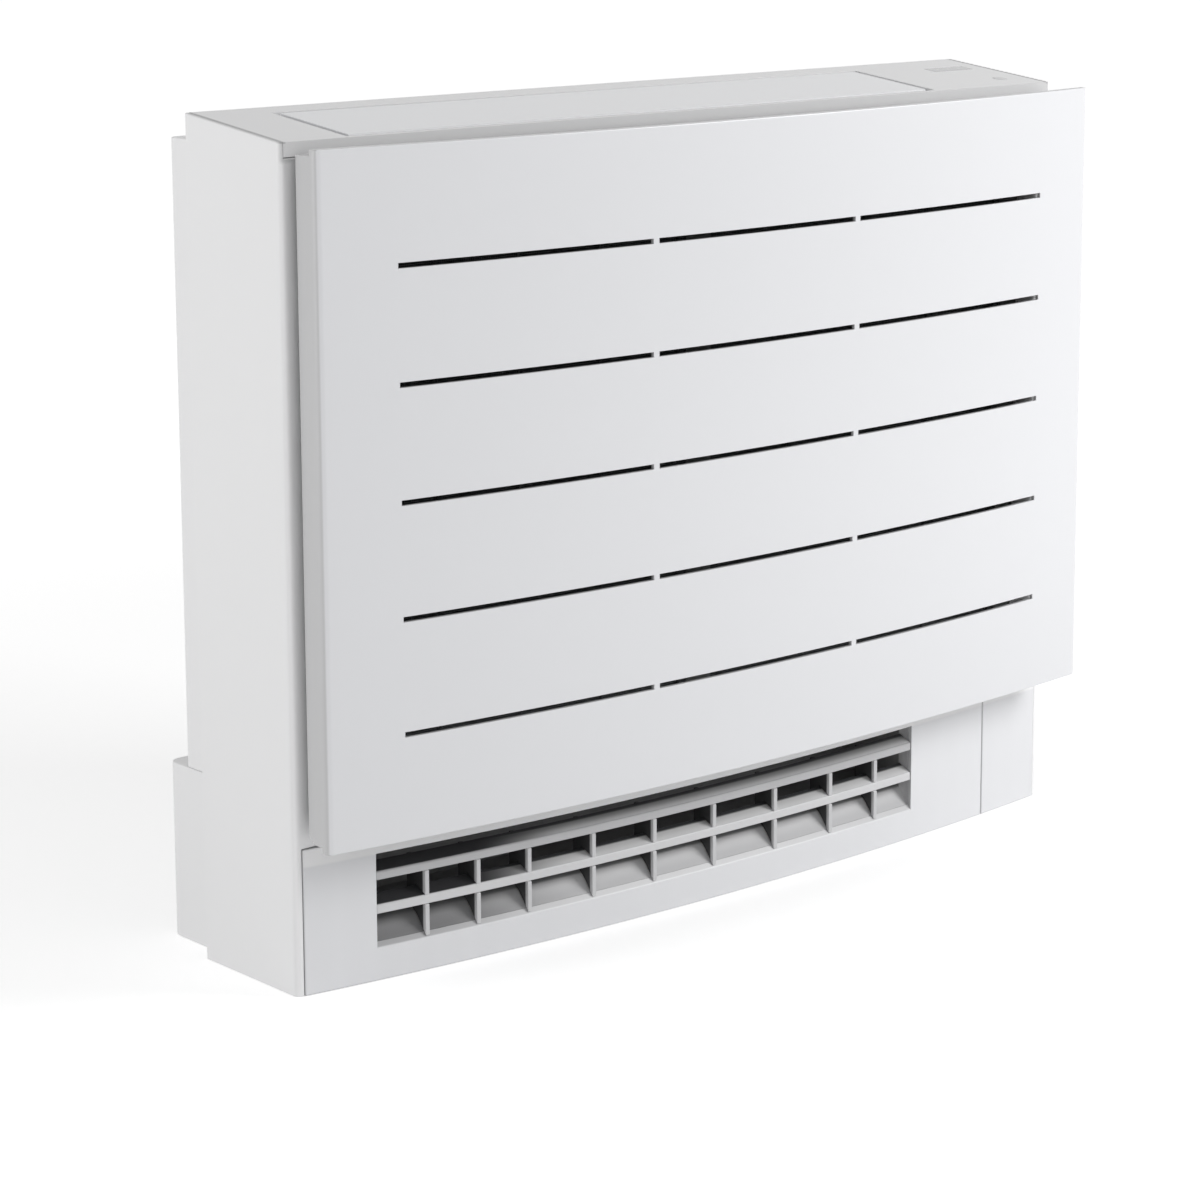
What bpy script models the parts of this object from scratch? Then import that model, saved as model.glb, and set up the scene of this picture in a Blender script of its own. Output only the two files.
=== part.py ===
"""Floor standing air conditioner: the indoor unit, in metres with +Z up and its front towards -Y."""

import math

import bmesh
import bpy
from mathutils import Matrix, Vector

# Overall size
WIDTH = 0.750
HEIGHT = 0.600
DEPTH = 0.238

# Moulded walls and the clearances between pieces
WALL = 0.003
THIN_WALL = 0.0024
SEAT = 0.0003
PANEL_SEAM = 0.005
COVER_SEAM = 0.0006
SOFT_EDGE = 0.0012
BAR_SOFT_EDGE = 0.0006

# Front panel: a plate bowed in plan and proud of the body, on a collar set in from its edge
PANEL_BOW = 0.024
PANEL_PROUD = 0.039
PANEL_TOP_DROP = 0.015
PANEL_FOOT_GAP = 0.0055
PANEL_LIP = 0.015
PANEL_EDGE_RADIUS = 0.005
PLATE_RIM = 0.0065
COLLAR_SIDE = 0.009
COLLAR_TOP = 0.006
SLOT_COUNT = 5
SLOT_HEAD = 0.080
SLOT_FOOT = 0.075
SLOT_HEIGHT = 0.0038
SLOT_END = 0.061
SLOT_BRIDGE_X = 0.099
SLOT_BRIDGE = 0.005

# Panel hinge at the lower corners, and the latches that hold the panel shut
PIN_RADIUS = 0.004
PIN_PLAY = 0.0005
PIN_SETBACK = 0.0065
PIN_HEIGHT = 0.008
PIN_LENGTH = 0.024
BRACKET_WIDTH = 0.012
BRACKET_RIM = 0.003
LATCH_INSET = 0.075
LATCH_DROP = 0.014
LATCH_WIDTH = 0.022
LATCH_HEIGHT = 0.024
LATCH_REACH = 0.016
LATCH_NOSE = 0.007

# Body covers
COVER_RETURN = 0.034
COVER_REAR_LIP = 0.030
COVER_EDGE_RADIUS = 0.005
TOP_DROP = 0.013
TOP_FLANGE = 0.010
REAR_FLANGE = 0.030

# Lower front cover with the air outlet, and the corner cover beside it
LOWER_BOW = 0.026
LOWER_HEIGHT = 0.1045
OUTLET_LEFT_END = 0.063
OUTLET_RIGHT_END = 0.1675
OUTLET_SILL = 0.0275
OUTLET_HEAD = 0.0125
SILL_SLOPE = 0.004
CORNER_WIDTH = 0.0775
DUCT_BACK = 0.052
DUCT_SHELL = 0.010
RAMP_DEPTH = 0.018
RAMP_RISE = 0.0155
DUCT_ROUNDING = 0.3

# Bars and ribs in the outlet: rows from the top and cells from the left share its height and width
ROW_HEIGHTS = (0.0137, 0.0179, 0.0203)
CELL_WIDTHS = (0.0415, 0.043, 0.044, 0.0578, 0.0572, 0.0587, 0.0633, 0.0603, 0.0515, 0.0422)
UPPER_BAR_HEIGHT = 0.0061
LOWER_BAR_HEIGHT = 0.0065
BAR_DEPTH = 0.012
BAR_RISE = 0.0056
BAR_TAIL = 0.0028
BAR_INSET = 0.0006
RIB_THICK = 0.0036
RIB_DEPTH = 0.0215

# Upper outlet under the top flap
FLAP_LEFT_END = 0.058
FLAP_RIGHT_END = 0.128
FLAP_FRONT = 0.004
FLAP_REAR_MARGIN = 0.019
FLAP_THICK = 0.0035
FLAP_CHAMFER = 0.0008
FLAP_SEAM = 0.005
FLAP_REAR_SEAM = 0.0012
FLAP_BARREL = 0.003
FLAP_PIN_RADIUS = 0.0018
FLAP_PIN_LENGTH = 0.010
FLAP_PIN_PLAY = 0.0012
BOSS_WIDTH = 0.009
BOSS_DEPTH = 0.008
TROUGH_FRONT_LEDGE = 0.0081
TROUGH_REAR_LEDGE = 0.011
TROUGH_END_LEDGE = 0.006
TROUGH_DEPTH = 0.065
TROUGH_ROUNDING = 0.45
TROUGH_FLATTENING = 0.55
TROUGH_RIM_GAP = 0.005
TROUGH_FLANGE = 0.003
VANE_COUNT = 8
VANE_THICK = 0.0018
VANE_DROP = 0.030

# Intake frame and the two filters behind the panel
INTAKE_THICK = 0.006
INTAKE_TOP_DROP = 0.017
INTAKE_BORDER = 0.048
INTAKE_SILL = 0.0455
INTAKE_HEAD = 0.038
INTAKE_MULLION = 0.024
FILTER_RECESS = 0.001
FILTER_THICK = 0.0032
FILTER_SHEET = 0.0008
FILTER_RIM = 0.007
FILTER_RIB = 0.0025
FILTER_COLUMNS = 4
FILTER_ROWS = 5
FILTER_PLAY = 0.0005
FILTER_TAB = (0.040, 0.004, 0.003)

# Control display and button on the top cover
CONTROLS_INSET = 0.041
DISPLAY_REAR = 0.0365
DISPLAY_SIZE = (0.044, 0.014)
BUTTON_PLACE = 0.394
BUTTON_SHIFT = 0.010
BUTTON_RADIUS = 0.0055
INSET_DEPTH = 0.0018

# Rear chassis, foot and bottom plate
CHASSIS_DEPTH = 0.0425
FOOT_STEP = 0.023
REAR_INSET = 0.014
CHASSIS_TOP_DROP = 0.020
CHASSIS_RADIUS = 0.006
FOOT_HEIGHT = 0.130
FOOT_RADIUS = 0.010
BOTTOM_PLATE = 0.006
HOOK_SLOT = (0.034, 0.009)
HOOK_INSET = 0.151
HOOK_DROP = 0.050
BACK_RIB_COUNT = 5
BACK_RIB_INSET = 0.061
BACK_RIB_WIDTH = 0.014
BACK_RIB_DEPTH = 0.0015
BACK_RIB_FOOT = 0.030
BACK_RIB_HEAD = 0.040
PIPE_COVER = (0.070, 0.070)
PIPE_COVER_INSET = 0.070
PIPE_COVER_THICK = 0.0018

ARC_STEPS = 28
CORNER_STEPS = 5
ROUND_STEPS = 24
RAMP_STEPS = 6

HALF_WIDTH = WIDTH / 2
PANEL_CREST_Y = -DEPTH / 2
PANEL_END_Y = PANEL_CREST_Y + PANEL_BOW
BODY_FRONT_Y = PANEL_END_Y + PANEL_PROUD
PANEL_REAR_Y = BODY_FRONT_Y - PANEL_SEAM
PANEL_BOTTOM = LOWER_HEIGHT + PANEL_FOOT_GAP
PANEL_TOP = HEIGHT - PANEL_TOP_DROP
FOOT_REAR_Y = DEPTH / 2
CHASSIS_REAR_Y = FOOT_REAR_Y - FOOT_STEP
COVER_REAR_Y = CHASSIS_REAR_Y - CHASSIS_DEPTH
COVER_DEPTH = COVER_REAR_Y - BODY_FRONT_Y
REAR_HALF_WIDTH = HALF_WIDTH - REAR_INSET
COVER_INNER_X = HALF_WIDTH - WALL
RETURN_BACK_Y = BODY_FRONT_Y + WALL
INNER_FRONT_Y = RETURN_BACK_Y + SEAT
PIN_Y = PANEL_REAR_Y - PIN_SETBACK
PIN_Z = PANEL_BOTTOM + PIN_HEIGHT
TOP_SLOPE = math.atan2(TOP_DROP, COVER_DEPTH)
OUTLET_LEFT = OUTLET_LEFT_END - HALF_WIDTH
OUTLET_RIGHT = HALF_WIDTH - OUTLET_RIGHT_END
OUTLET_TOP = LOWER_HEIGHT - OUTLET_HEAD
CORNER_SEAM_X = HALF_WIDTH - CORNER_WIDTH
ROW_SCALE = (OUTLET_TOP - OUTLET_SILL - UPPER_BAR_HEIGHT - LOWER_BAR_HEIGHT) / sum(ROW_HEIGHTS)
UPPER_BAR_Z = OUTLET_TOP - ROW_HEIGHTS[0] * ROW_SCALE - UPPER_BAR_HEIGHT
LOWER_BAR_Z = UPPER_BAR_Z - ROW_HEIGHTS[1] * ROW_SCALE - LOWER_BAR_HEIGHT
FLAP_LEFT = FLAP_LEFT_END - HALF_WIDTH
FLAP_RIGHT = HALF_WIDTH - FLAP_RIGHT_END
FLAP_REAR = COVER_DEPTH - FLAP_REAR_MARGIN
VANE_TOP = HEIGHT - VANE_DROP
INTAKE_TOP = HEIGHT - INTAKE_TOP_DROP
CHASSIS_TOP = HEIGHT - CHASSIS_TOP_DROP
DISPLAY_X = HALF_WIDTH - CONTROLS_INSET
DISPLAY_BACK = COVER_DEPTH - DISPLAY_REAR
BUTTON_BACK = (DISPLAY_BACK - DISPLAY_SIZE[1] / 2) * BUTTON_PLACE

WHITE = (0.80, 0.80, 0.81)
PANEL_WHITE = (0.84, 0.84, 0.86)
LIGHT_GREY = (0.55, 0.56, 0.57)
DARK_GREY = (0.06, 0.06, 0.065)
FILTER_GREY = (0.18, 0.19, 0.20)


def clear_scene():
    for obj in list(bpy.data.objects):
        bpy.data.objects.remove(obj, do_unlink=True)


def new_collection(name):
    collection = bpy.data.collections.new(name)
    bpy.context.scene.collection.children.link(collection)
    return collection


def plastic(name, colour, roughness):
    """A Principled material of one moulded plastic."""
    material = bpy.data.materials.new(name)
    material.use_nodes = True
    shader = material.node_tree.nodes["Principled BSDF"]
    shader.inputs["Base Color"].default_value = (*colour, 1.0)
    shader.inputs["Roughness"].default_value = roughness
    shader.inputs["Metallic"].default_value = 0.0
    return material


def add_object(name, shape, material):
    """A mesh object from a finished bmesh, in the unit's collection or, without a material, among the cutters."""
    mesh = bpy.data.meshes.new(name)
    bmesh.ops.recalc_face_normals(shape, faces=shape.faces)
    shape.to_mesh(mesh)
    shape.free()
    obj = bpy.data.objects.new(name, mesh)
    if material is None:
        cutters.objects.link(obj)
        obj.hide_render = True
        obj.display_type = "WIRE"
    else:
        unit.objects.link(obj)
        mesh.materials.append(material)
        mesh.shade_smooth()
        mesh.set_sharp_from_angle(angle=math.radians(35))
    return obj


def add_prism(shape, outline, axis, low, high):
    """Extrudes a flat outline: (x, y) points along Z, or (y, z) points along X."""
    if axis == "Z":
        corners = [Vector((a, b, low)) for a, b in outline]
        sweep = Vector((0, 0, high - low))
    else:
        corners = [Vector((low, a, b)) for a, b in outline]
        sweep = Vector((high - low, 0, 0))
    face = shape.faces.new([shape.verts.new(corner) for corner in corners])
    swept = bmesh.ops.extrude_face_region(shape, geom=[face])
    moved = [item for item in swept["geom"] if isinstance(item, bmesh.types.BMVert)]
    bmesh.ops.translate(shape, verts=moved, vec=sweep)


def prism(name, outline, axis, low, high, material=None):
    shape = bmesh.new()
    add_prism(shape, outline, axis, low, high)
    return add_object(name, shape, material)


def add_box(shape, x, y, z):
    """Adds a box between the low and high values of each axis."""
    size = Vector((x[1] - x[0], y[1] - y[0], z[1] - z[0]))
    centre = Vector(((x[0] + x[1]) / 2, (y[0] + y[1]) / 2, (z[0] + z[1]) / 2))
    bmesh.ops.create_cube(shape, size=1.0, matrix=Matrix.Translation(centre) @ Matrix.Diagonal((*size, 1.0)))


def box(name, x, y, z, material=None):
    shape = bmesh.new()
    add_box(shape, x, y, z)
    return add_object(name, shape, material)


def add_rod(shape, radius, x, y, z):
    """Adds a cylinder along X between x[0] and x[1]."""
    place = Matrix.Translation(((x[0] + x[1]) / 2, y, z)) @ Matrix.Rotation(math.pi / 2, 4, "Y")
    bmesh.ops.create_cone(shape, cap_ends=True, segments=ROUND_STEPS, radius1=radius, radius2=radius,
                          depth=x[1] - x[0], matrix=place)


def add_button(shape, radius, centre, normal, height):
    """Adds a short cylinder that stands on a point along a direction."""
    turn = Vector((0, 0, 1)).rotation_difference(normal).to_matrix().to_4x4()
    place = Matrix.Translation(centre + normal * height / 2) @ turn
    bmesh.ops.create_cone(shape, cap_ends=True, segments=ROUND_STEPS, radius1=radius, radius2=radius,
                          depth=height, matrix=place)


def combine(obj, other, operation):
    modifier = obj.modifiers.new(f"{operation.title()} {other.name}", "BOOLEAN")
    modifier.operation = operation
    modifier.solver = "EXACT"
    modifier.object = other


def cut(obj, other):
    combine(obj, other, "DIFFERENCE")


def join(obj, other):
    combine(obj, other, "UNION")


def soften(obj, width, segments=2):
    """Rounds the sharp edges of a moulding."""
    modifier = obj.modifiers.new("Soft edges", "BEVEL")
    modifier.width = width
    modifier.segments = segments
    modifier.limit_method = "ANGLE"
    modifier.angle_limit = math.radians(40)


def pivot_at(obj, y, z):
    """Moves an object's origin onto its hinge axis, with its shape left where it is."""
    axis = Vector((0, y, z))
    obj.data.transform(Matrix.Translation(-axis))
    obj.location = axis


def arc(centre, radius, start, end, steps):
    """Points on a circle between two angles in degrees, ends included."""
    turns = [math.radians(start + (end - start) * i / steps) for i in range(steps + 1)]
    return [(centre[0] + radius * math.cos(t), centre[1] + radius * math.sin(t)) for t in turns]


def bowed(x, end_y, bow):
    """The Y of a front face that stands end_y at the unit's sides and bow further forward at its middle."""
    return end_y - bow * (1 - (x / HALF_WIDTH) ** 2)


def bowed_line(left, right, end_y, bow):
    span = right - left
    steps = max(2, round(ARC_STEPS * span / WIDTH))
    places = [left + span * i / steps for i in range(steps + 1)]
    return [(x, bowed(x, end_y, bow)) for x in places]


def panel_outline(side_offset, front_offset, rear):
    """The panel in plan, shrunk by an offset at its sides and another at its front, back to the given Y."""
    half = HALF_WIDTH - side_offset
    radius = max(PANEL_EDGE_RADIUS - front_offset, 0.001)
    front = bowed_line(-half + radius, half - radius, PANEL_END_Y, PANEL_BOW)
    line = [(x, y + front_offset) for x, y in front]
    corner_y = line[0][1] + radius
    left = arc((-half + radius, corner_y), radius, 180, 270, CORNER_STEPS)[:-1]
    right = arc((half - radius, corner_y), radius, 270, 360, CORNER_STEPS)[1:]
    return [(-half, rear)] + left + line + right + [(half, rear)]


def roof_z(y):
    """Height of the sloping top over a given Y."""
    return HEIGHT - TOP_DROP * (COVER_REAR_Y - y) / COVER_DEPTH


def on_roof(back, below):
    """The (y, z) of a point by its distance behind the body's front edge and its depth under the top."""
    y = BODY_FRONT_Y + back
    return (y + below * math.sin(TOP_SLOPE), roof_z(y) - below * math.cos(TOP_SLOPE))


def build_front_panel():
    """A bowed plate on a collar, hollow and open at the rear, with a round pin in each lower corner."""
    panel = prism("front_panel", panel_outline(0, 0, PANEL_REAR_Y), "Z", PANEL_BOTTOM, PANEL_TOP, panel_white)
    soften(panel, SOFT_EDGE)
    past_rear = PANEL_REAR_Y + 2 * WALL
    collar_x, collar_z = HALF_WIDTH - COLLAR_SIDE, PANEL_TOP - COLLAR_TOP
    recess = bmesh.new()
    for side in (-1, 1):
        add_box(recess, sorted((side * collar_x, side * (HALF_WIDTH + WALL))), (PANEL_END_Y + PLATE_RIM, past_rear),
                (PANEL_BOTTOM - WALL, collar_z))
    cut(panel, add_object("panel_side_recesses", recess, None))
    behind_plate = bowed_line(-HALF_WIDTH - WALL, HALF_WIDTH + WALL, PANEL_END_Y + PLATE_RIM, PANEL_BOW)
    behind_plate += [(HALF_WIDTH + WALL, past_rear), (-HALF_WIDTH - WALL, past_rear)]
    cut(panel, prism("panel_top_recess", behind_plate, "Z", collar_z, PANEL_TOP + WALL))
    cut(panel, prism("panel_hollow", panel_outline(COLLAR_SIDE + WALL, WALL, past_rear), "Z",
                     PANEL_BOTTOM + WALL, collar_z - WALL))
    cut(panel, prism("panel_underside", panel_outline(COLLAR_SIDE + WALL, PANEL_LIP, past_rear), "Z",
                     PANEL_BOTTOM - WALL, PANEL_BOTTOM + 2 * WALL))
    cut(panel, prism("panel_heel", heel_outline(), "X", -HALF_WIDTH - WALL, HALF_WIDTH + WALL))
    cut(panel, slot_cutter())
    pins = bmesh.new()
    for side in (-1, 1):
        outer = side * (collar_x - WALL / 2)
        inner = side * (collar_x - PIN_LENGTH)
        add_rod(pins, PIN_RADIUS, sorted((outer, inner)), PIN_Y, PIN_Z)
    join(panel, add_object("panel_pins", pins, None))
    pivot_at(panel, PIN_Y, PIN_Z)


def heel_outline():
    """The material outside a round heel about the hinge axis, at the panel's lower rear corner."""
    heel = arc((PIN_Y, PIN_Z), PIN_SETBACK, 0, -90, CORNER_STEPS * 2)
    heel[-1] = (PIN_Y, PIN_Z - PIN_HEIGHT - WALL)
    return heel + [(PANEL_REAR_Y + WALL, PIN_Z - PIN_HEIGHT - WALL), (PANEL_REAR_Y + WALL, PIN_Z)]


def slot_cutter():
    """One box for each part of each slot, between the two bridges."""
    shape = bmesh.new()
    half_span = HALF_WIDTH - SLOT_END
    spans = ((-half_span, -SLOT_BRIDGE_X - SLOT_BRIDGE / 2),
             (-SLOT_BRIDGE_X + SLOT_BRIDGE / 2, SLOT_BRIDGE_X - SLOT_BRIDGE / 2),
             (SLOT_BRIDGE_X + SLOT_BRIDGE / 2, half_span))
    lowest, highest = PANEL_BOTTOM + SLOT_FOOT, PANEL_TOP - SLOT_HEAD
    for row in range(SLOT_COUNT):
        middle = highest - (highest - lowest) * row / (SLOT_COUNT - 1)
        for span in spans:
            add_box(shape, span, (PANEL_CREST_Y - WALL, PANEL_END_Y + 2 * WALL),
                    (middle - SLOT_HEIGHT / 2, middle + SLOT_HEIGHT / 2))
    return add_object("panel_slots", shape, None)


def build_hinge_bracket(name, side):
    """An eye on the body's front corner that the panel's pin turns in."""
    eye = PIN_RADIUS + PIN_PLAY + BRACKET_RIM
    base_y = BODY_FRONT_Y - SEAT
    outline = [(base_y, PIN_Z - eye)] + arc((PIN_Y, PIN_Z), eye, 270, 90, CORNER_STEPS * 2) + [(base_y, PIN_Z + eye)]
    middle = side * (HALF_WIDTH - COLLAR_SIDE - PIN_LENGTH / 2 - WALL / 2)
    low = middle - BRACKET_WIDTH / 2
    bracket = prism(name, outline, "X", low, low + BRACKET_WIDTH, white)
    hole = bmesh.new()
    add_rod(hole, PIN_RADIUS + PIN_PLAY, (low - WALL, low + BRACKET_WIDTH + WALL), PIN_Y, PIN_Z)
    cut(bracket, add_object(f"{name}_hole", hole, None))


def build_latch(name, side):
    """A hooked stop on the intake frame, behind the panel's top corner."""
    base_y = INNER_FRONT_Y - SEAT
    nose_y = base_y - LATCH_REACH
    shank_y = nose_y + LATCH_NOSE
    low = INTAKE_TOP - LATCH_DROP - LATCH_HEIGHT
    high = low + LATCH_HEIGHT
    outline = [(base_y, low), (base_y, high), (shank_y - WALL, high), (nose_y, high - 2 * WALL),
               (nose_y, high - LATCH_HEIGHT / 2), (shank_y, high - LATCH_HEIGHT / 2), (shank_y, low)]
    left = side * (HALF_WIDTH - LATCH_INSET) - LATCH_WIDTH / 2
    prism(name, outline, "X", left, left + LATCH_WIDTH, light_grey)


def build_side_cover(name, side):
    """A side wall with a return behind the panel's edge and a lip at the rear, cut to the sloping top."""
    radius = COVER_EDGE_RADIUS
    corner = arc((HALF_WIDTH - radius, BODY_FRONT_Y + radius), radius, 270, 360, CORNER_STEPS)
    outline = [(HALF_WIDTH - COVER_RETURN, BODY_FRONT_Y)] + corner
    outline += [(HALF_WIDTH, COVER_REAR_Y), (HALF_WIDTH - COVER_REAR_LIP, COVER_REAR_Y),
                (HALF_WIDTH - COVER_REAR_LIP, COVER_REAR_Y - WALL), (COVER_INNER_X, COVER_REAR_Y - WALL),
                (COVER_INNER_X, RETURN_BACK_Y), (HALF_WIDTH - COVER_RETURN, RETURN_BACK_Y)]
    shape = bmesh.new()
    add_prism(shape, [(side * x, y) for x, y in outline], "Z", 0, HEIGHT)
    for vertex in shape.verts:
        if vertex.co.z > HEIGHT / 2:
            vertex.co.z = roof_z(vertex.co.y)
    cover = add_object(name, shape, white)
    inside = side * (HALF_WIDTH - max(COVER_RETURN, COVER_REAR_LIP) - WALL)
    notches = bmesh.new()
    add_box(notches, sorted((inside, side * (COVER_INNER_X - WALL))), (BODY_FRONT_Y - WALL, RETURN_BACK_Y + WALL),
            (-WALL, LOWER_HEIGHT + SEAT))
    front, rear, lip = BODY_FRONT_Y - WALL, COVER_REAR_Y + WALL, COVER_REAR_Y - WALL - SEAT
    drop = TOP_FLANGE + SEAT + WALL * math.tan(TOP_SLOPE)
    rear_drop = REAR_FLANGE + SEAT + WALL * math.tan(TOP_SLOPE)
    step = [(front, roof_z(front) - drop), (lip, roof_z(lip) - drop), (lip, HEIGHT - rear_drop),
            (rear, HEIGHT - rear_drop), (rear, HEIGHT + WALL), (front, HEIGHT + WALL)]
    add_prism(notches, step, "X", *sorted((inside, side * COVER_INNER_X)))
    cut(cover, add_object(f"{name}_notches", notches, None))


def build_top_cover():
    """The sloping top, with turned-down edges, the flap's opening, pin bosses and the display's recess."""
    front = BODY_FRONT_Y + SEAT
    rear = COVER_REAR_Y
    outline = [(front, roof_z(front)), (rear, roof_z(rear)), (rear, roof_z(rear) - REAR_FLANGE),
               (rear - WALL, roof_z(rear) - REAR_FLANGE), (rear - WALL, roof_z(rear - WALL) - WALL),
               (front + WALL - SEAT, roof_z(front + WALL) - WALL),
               (front + WALL - SEAT, roof_z(front) - TOP_FLANGE), (front, roof_z(front) - TOP_FLANGE)]
    half = COVER_INNER_X - SEAT
    cover = prism("top_cover", outline, "X", -half, half, white)
    opening = [on_roof(FLAP_FRONT, -WALL), on_roof(FLAP_REAR, -WALL),
               on_roof(FLAP_REAR, 2 * WALL), on_roof(FLAP_FRONT, 2 * WALL)]
    bosses = bmesh.new()
    back = FLAP_REAR - FLAP_REAR_SEAM - FLAP_BARREL
    boss_half = BOSS_DEPTH / 2
    boss = [on_roof(back - boss_half, WALL / 2), on_roof(back + boss_half, WALL / 2),
            on_roof(back + boss_half, BOSS_DEPTH), on_roof(back - boss_half, BOSS_DEPTH)]
    add_prism(bosses, boss, "X", FLAP_LEFT - BOSS_WIDTH, FLAP_LEFT)
    add_prism(bosses, boss, "X", FLAP_RIGHT, FLAP_RIGHT + BOSS_WIDTH)
    join(cover, add_object("flap_bosses", bosses, None))
    cut(cover, prism("flap_opening", opening, "X", FLAP_LEFT, FLAP_RIGHT))
    holes = bmesh.new()
    reach = FLAP_PIN_LENGTH - FLAP_SEAM + FLAP_PIN_PLAY
    pin_y, pin_z = flap_axis()
    add_rod(holes, FLAP_PIN_RADIUS + PIN_PLAY, (FLAP_LEFT - reach, FLAP_LEFT + WALL), pin_y, pin_z)
    add_rod(holes, FLAP_PIN_RADIUS + PIN_PLAY, (FLAP_RIGHT - WALL, FLAP_RIGHT + reach), pin_y, pin_z)
    cut(cover, add_object("flap_pin_holes", holes, None))
    recesses = bmesh.new()
    width, length = DISPLAY_SIZE
    recess = [on_roof(DISPLAY_BACK - length / 2, -WALL), on_roof(DISPLAY_BACK + length / 2, -WALL),
              on_roof(DISPLAY_BACK + length / 2, INSET_DEPTH), on_roof(DISPLAY_BACK - length / 2, INSET_DEPTH)]
    add_prism(recesses, recess, "X", DISPLAY_X - width / 2, DISPLAY_X + width / 2)
    centre, normal = button_seat(INSET_DEPTH)
    add_button(recesses, BUTTON_RADIUS + PIN_PLAY, centre, normal, INSET_DEPTH + WALL)
    cut(cover, add_object("control_recesses", recesses, None))


def flap_axis():
    return on_roof(FLAP_REAR - FLAP_REAR_SEAM - FLAP_BARREL, FLAP_BARREL)


def button_seat(below):
    """Centre and outward direction of the button's seat at a depth under the top."""
    y, z = on_roof(BUTTON_BACK, below)
    return Vector((DISPLAY_X + BUTTON_SHIFT, y, z)), Vector((0, -math.sin(TOP_SLOPE), math.cos(TOP_SLOPE)))


def build_controls():
    width, length = DISPLAY_SIZE
    clear = SEAT
    front, rear = DISPLAY_BACK - length / 2 + clear, DISPLAY_BACK + length / 2 - clear
    outline = [on_roof(front, 0), on_roof(rear, 0), on_roof(rear, INSET_DEPTH - clear),
               on_roof(front, INSET_DEPTH - clear)]
    prism("control_display", outline, "X", DISPLAY_X - width / 2 + clear, DISPLAY_X + width / 2 - clear, dark_grey)
    shape = bmesh.new()
    centre, normal = button_seat(INSET_DEPTH - clear)
    add_button(shape, BUTTON_RADIUS, centre, normal, INSET_DEPTH)
    add_object("operation_button", shape, light_grey)


def build_top_flap():
    """A plate flush with the top that ends in a round barrel on its hinge axis, with a pin at each end."""
    front = FLAP_FRONT + FLAP_SEAM
    back = FLAP_REAR - FLAP_REAR_SEAM - FLAP_BARREL
    axis_y, axis_z = flap_axis()
    tilt = math.degrees(TOP_SLOPE)
    barrel = arc((axis_y, axis_z), FLAP_BARREL, 90 + tilt, -90 + tilt, CORNER_STEPS * 2)
    outline = [on_roof(front, FLAP_THICK), on_roof(front, FLAP_CHAMFER), on_roof(front + FLAP_CHAMFER, 0)] + barrel
    outline += [on_roof(back - 2 * FLAP_BARREL, FLAP_THICK)]
    flap = prism("top_flap", outline, "X", FLAP_LEFT + FLAP_SEAM, FLAP_RIGHT - FLAP_SEAM, panel_white)
    pins = bmesh.new()
    left, right = FLAP_LEFT + FLAP_SEAM, FLAP_RIGHT - FLAP_SEAM
    add_rod(pins, FLAP_PIN_RADIUS, (left - FLAP_PIN_LENGTH, left + WALL), axis_y, axis_z)
    add_rod(pins, FLAP_PIN_RADIUS, (right - WALL, right + FLAP_PIN_LENGTH), axis_y, axis_z)
    join(flap, add_object("flap_pins", pins, None))
    pivot_at(flap, axis_y, axis_z)


def trough_profile(offset, top_below):
    """The upper outlet in section: straight walls with a round floor, grown outwards by offset."""
    front = BODY_FRONT_Y + FLAP_FRONT + TROUGH_FRONT_LEDGE - offset
    rear = BODY_FRONT_Y + FLAP_REAR - TROUGH_REAR_LEDGE + offset
    radius = (rear - front) * TROUGH_ROUNDING
    floor = HEIGHT - TROUGH_DEPTH - offset
    rise = TROUGH_FLATTENING * radius
    left = [(front + radius - radius * math.cos(t), floor + rise * (1 - math.sin(t)))
            for t in (math.radians(90 * i / CORNER_STEPS) for i in range(CORNER_STEPS + 1))]
    right = [(rear - radius + radius * math.sin(t), floor + rise * (1 - math.cos(t)))
             for t in (math.radians(90 * i / CORNER_STEPS) for i in range(CORNER_STEPS + 1))]
    return [(front, roof_z(front) - top_below)] + left + right + [(rear, roof_z(rear) - top_below)]


def build_upper_outlet():
    """The trough with a flange that shows under the flap's seams, and the vanes across it."""
    rim = FLAP_THICK + TROUGH_RIM_GAP
    left, right = FLAP_LEFT + TROUGH_END_LEDGE, FLAP_RIGHT - TROUGH_END_LEDGE
    trough = prism("upper_outlet", trough_profile(THIN_WALL, rim), "X", left - THIN_WALL, right + THIN_WALL, dark_grey)
    front = INTAKE_THICK + INNER_FRONT_Y + SEAT - BODY_FRONT_Y
    rear = FLAP_REAR + TROUGH_FLANGE
    flange = [on_roof(front, rim), on_roof(rear, rim), on_roof(rear, rim + THIN_WALL), on_roof(front, rim + THIN_WALL)]
    join(trough, prism("upper_outlet_flange", flange, "X", FLAP_LEFT - TROUGH_FLANGE, FLAP_RIGHT + TROUGH_FLANGE))
    cut(trough, prism("upper_outlet_hollow", trough_profile(0, -WALL), "X", left, right))
    pitch = (right - left) / VANE_COUNT
    profile = [point for point in trough_profile(-SEAT, 0) if point[1] < VANE_TOP]
    outline = [(profile[0][0], VANE_TOP)] + profile + [(profile[-1][0], VANE_TOP)]
    for i in range(VANE_COUNT):
        low = left + pitch * (i + 0.5) - VANE_THICK / 2
        prism(f"upper_vane_{i + 1}", outline, "X", low, low + VANE_THICK, dark_grey)


def lower_outline(left, right, offset, rear):
    line = [(x, y + offset) for x, y in bowed_line(left, right, BODY_FRONT_Y, LOWER_BOW)]
    return [(left, rear)] + line + [(right, rear)]


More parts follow.
